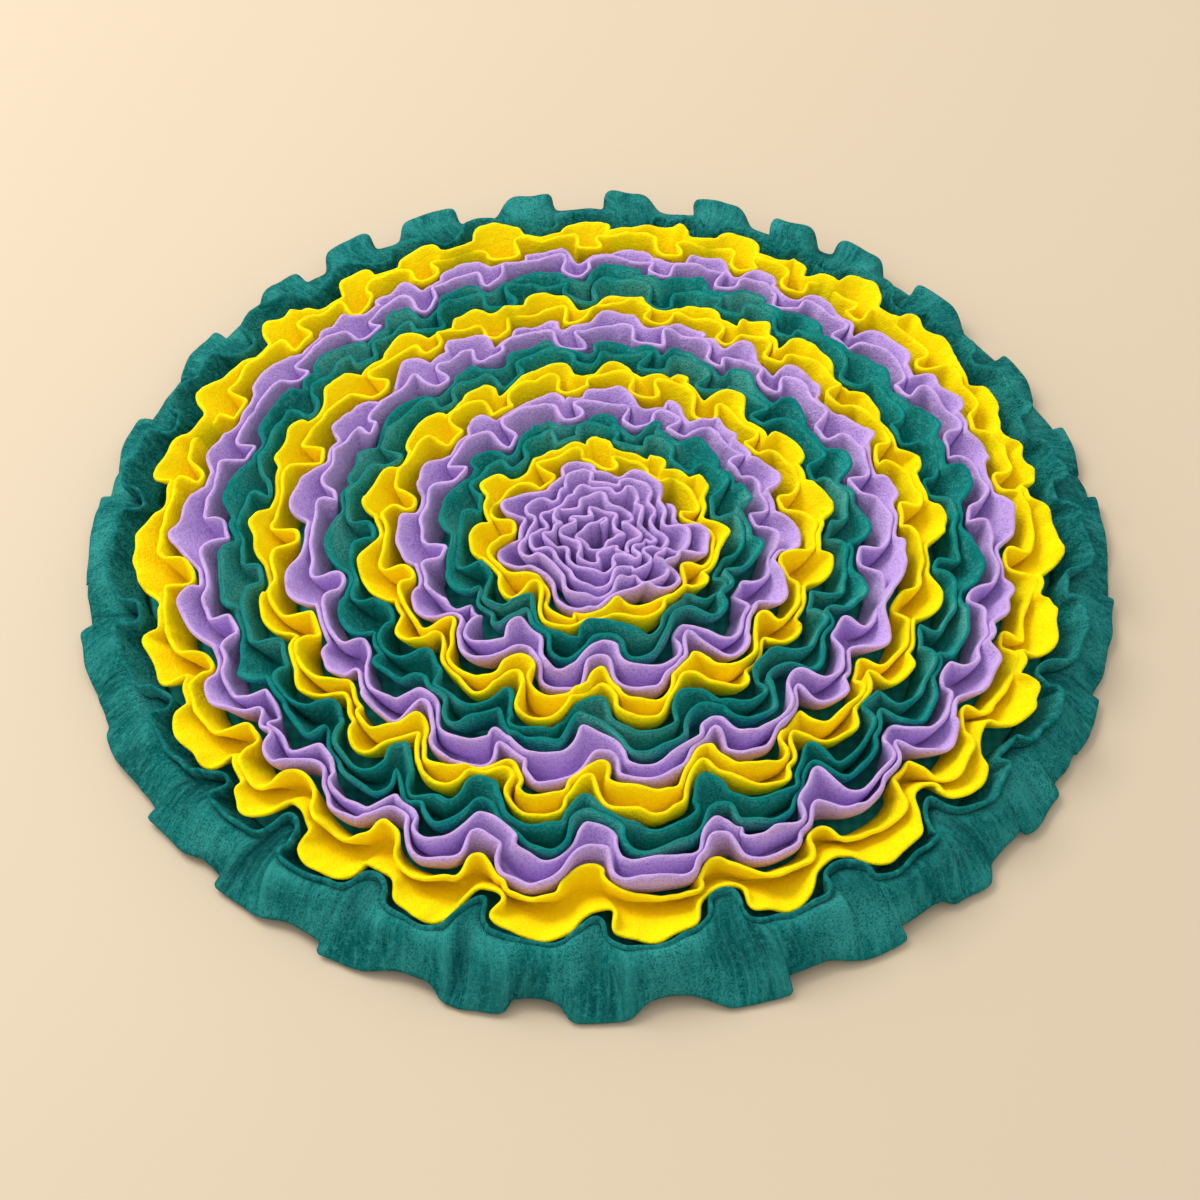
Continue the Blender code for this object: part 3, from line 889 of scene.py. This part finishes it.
def clothFinish(colour, half, brushed=False):
    key = colour + ("_brushed" if brushed else "_fleece") + str(round(half * 1e4))
    if key in made:
        return made[key]
    finish = finishes["brushed" if brushed else colour]
    material = bpy.data.materials.new(key)
    material.use_nodes = True
    tree = material.node_tree
    shader = tree.nodes["Principled BSDF"]
    place = addNode(tree, "ShaderNodeTexCoord", {}, {}, "Object")
    cloth = addNode(tree, "ShaderNodeUVMap", {"uv_map": "cloth"}, {})
    across = addNode(tree, "ShaderNodeSeparateXYZ", {}, {0: cloth}, 1)
    width = abs(across) / half
    cut = stretch(tree, width, pile["edge"])
    low = stretch(tree, width, pile["low"])

    def noise(scale, detail, roughness=0.5, where=place):
        values = {"Vector": where, "Scale": scale, "Detail": detail, "Roughness": roughness}
        return addNode(tree, "ShaderNodeTexNoise", {}, values)

    # hazy patches, then tufts of the pile, then single fibres
    patches = noise(pile["patchScale"], 3)
    tufts = noise(pile["tuftScale"], 3, 0.6)
    felt = noise(pile["feltScale"], 2, 0.7)
    pale = stretch(tree, patches, pile["pale"]) * finish["patchy"]
    dark = stretch(tree, patches, pile["dark"]) * finish["patchy"] * pile["darkShare"]
    # painted seam shading: towards the seam the face colour gives way to a painted shade on yellow, and to a
    # painted lighter tone that lifts the shade on the other colours
    base = mixColour(tree, low * pile["seamShadingShare"], finish["face"], finish["deep"])
    base = mixColour(tree, pale, base, finish["hazeAndRidgeHighlight"])
    base = mixColour(tree, dark, base, finish["fibreAndValleyShade"])
    base = mixColour(tree, stretch(tree, tufts, pile["tufts"]) * pile["tuftShare"], base, finish["hazeAndRidgeHighlight"])
    base = mixColour(tree, stretch(tree, felt, pile["felt"]) * finish["grain"], base, finish["fibreAndValleyShade"])
    base = mixColour(tree, cut * pile["edgeShare"], base, finish["edge"])
    relief = felt * 0.7 + tufts * 0.9
    if brushed:
        combed = {0: cloth, 1: (1.0, 0.4, 1.0)}
        stroke = addNode(tree, "ShaderNodeVectorMath", {"operation": "MULTIPLY"}, combed)
        nap = noise(pile["napScale"], 3, 0.75, stroke)
        base = mixColour(tree, stretch(tree, nap, pile["nap"]) * pile["napShare"], base, finish["hazeAndRidgeHighlight"])
        # painted light and shade from the fold relief: ridges get a painted highlight, valleys a painted
        # shade
        folds = addNode(tree, "ShaderNodeUVMap", {"uv_map": "relief"}, {})
        folds = addNode(tree, "ShaderNodeSeparateXYZ", {}, {0: folds}, 0)
        ridgeHighlight = stretch(tree, folds, pile["ridgeHighlight"]) * pile["ridgeHighlightShare"]
        valleyShade = stretch(tree, folds, pile["valleyShade"]) * pile["valleyShadeShare"]
        base = mixColour(tree, ridgeHighlight, base, finish["hazeAndRidgeHighlight"])
        base = mixColour(tree, valleyShade, base, finish["fibreAndValleyShade"])
        relief = relief + nap * 2.2
    tree.links.new(base.socket, shader.inputs["Base Color"])
    bump = addNode(tree, "ShaderNodeBump", {}, {"Height": relief, "Strength": 0.75, "Distance": 0.0014})
    tree.links.new(bump.socket, shader.inputs["Normal"])
    shader.inputs["Roughness"].default_value = 0.96
    shader.inputs["Specular IOR Level"].default_value = 0.06
    shader.inputs["Sheen Weight"].default_value = finish["sheen"]
    shader.inputs["Sheen Roughness"].default_value = 0.45
    shader.inputs["Sheen Tint"].default_value = finish["edge"]
    shader.inputs["Subsurface Weight"].default_value = finish["through"]
    shader.inputs["Subsurface Radius"].default_value = (1.0, 0.6, 0.4)
    shader.inputs["Subsurface Scale"].default_value = 0.003
    made[key] = material
    return material


strips = []
reach = makeRosette()
foldsOf = [makeFolds(ring["folds"], ring["front"], number) for number, ring in enumerate(rings, start=2)]
foldsOf.append(makeFolds(len(pleats["rhythm"]), 0, 77))
for number, ring in enumerate(rings, start=2):
    reach = makeRing(number, ring, foldsOf[number - 2], foldsOf[number - 1], reach)
makeFlounce(foldsOf[-1], reach)
for strip in strips:
    makeStrip(strip)
sewn = [piece for piece in bpy.data.objects if piece.name.startswith("strip")]
print("strips sewn,", 2 * sum(len(piece.data.polygons) for piece in sewn), "triangles")

# The base cloth keeps its solid and gets a plain woven look; its colours are painted light enough to lift the
# shade in the gaps between the rings, where it shows
baseCloth = {
    "threadWithPaintedLight": (0.020, 0.330, 0.300, 1),
    "shadow": (0.010, 0.200, 0.180, 1),
    "pitch": 0.0009,
}


def baseFinish():
    material = bpy.data.materials.new("base_weave")
    material.use_nodes = True
    tree = material.node_tree
    shader = tree.nodes["Principled BSDF"]
    place = addNode(tree, "ShaderNodeTexCoord", {}, {}, "Object")
    threads = []
    values = {"Vector": place, "Scale": 0.05 / baseCloth["pitch"], "Distortion": 0.6, "Detail": 1.0}
    for axis in ("X", "Y"):
        threads.append(addNode(tree, "ShaderNodeTexWave", {"bands_direction": axis}, values))
    weave = (threads[0] + threads[1]) * 0.5
    # painted light: the weave's colours are lifted so that the shaded gaps between rings read less dark
    colour = mixColour(tree, weave, baseCloth["shadow"], baseCloth["threadWithPaintedLight"])
    tree.links.new(colour.socket, shader.inputs["Base Color"])
    bump = addNode(tree, "ShaderNodeBump", {}, {"Height": weave, "Strength": 0.4, "Distance": 0.0004})
    tree.links.new(bump.socket, shader.inputs["Normal"])
    shader.inputs["Roughness"].default_value = 0.95
    shader.inputs["Specular IOR Level"].default_value = 0.15
    return material


base = frame["nodes"]["base_cloth"]
for slot in base.material_slots:
    slot.material = baseFinish()

# Floor, light and camera
studio = {
    "cameraTarget": (0.00102, -0.04454, 0.0255),
    "cameraAt": (0.00102, -0.75034, 0.89494),
    "lens": 72,
    "sensor": 36,
    "clipStart": 0.01,
    "floor": (0.585, 0.482, 0.350, 1),
    "floorSize": 8,
    "floorRoughness": 0.6,
    "keyAt": (-1.3, 1.1, 1.9),
    "keySize": 1.5,
    "keyPower": 51,
    "keyColour": (1.0, 0.96, 0.90),
    "world": 0.87,
    "worldColour": (1.0, 0.98, 0.95, 1),
}
bpy.ops.mesh.primitive_plane_add(size=studio["floorSize"])
floor = bpy.context.object
floor.name = "floor"
paint = bpy.data.materials.new("floor_paint")
paint.use_nodes = True
paintShader = paint.node_tree.nodes["Principled BSDF"]
paintShader.inputs["Base Color"].default_value = studio["floor"]
paintShader.inputs["Roughness"].default_value = studio["floorRoughness"]
floor.data.materials.append(paint)

bpy.ops.object.light_add(type="AREA", location=studio["keyAt"])
key = bpy.context.object
key.data.size = studio["keySize"]
key.data.energy = studio["keyPower"]
key.data.color = studio["keyColour"]
key.rotation_euler = (-Vector(studio["keyAt"])).to_track_quat("-Z", "Y").to_euler()

world = bpy.data.worlds.new("room")
world.use_nodes = True
sky = world.node_tree.nodes["Background"]
sky.inputs["Color"].default_value = studio["worldColour"]
sky.inputs["Strength"].default_value = studio["world"]
bpy.context.scene.world = world

bpy.ops.object.camera_add(location=studio["cameraAt"])
camera = bpy.context.object
camera.data.lens = studio["lens"]
camera.data.sensor_width = studio["sensor"]
camera.data.clip_start = studio["clipStart"]
toTarget = Vector(studio["cameraTarget"]) - Vector(studio["cameraAt"])
camera.rotation_euler = toTarget.to_track_quat("-Z", "Y").to_euler()
bpy.context.scene.camera = camera
bpy.context.scene.view_settings.view_transform = "Standard"
print("studio ready")
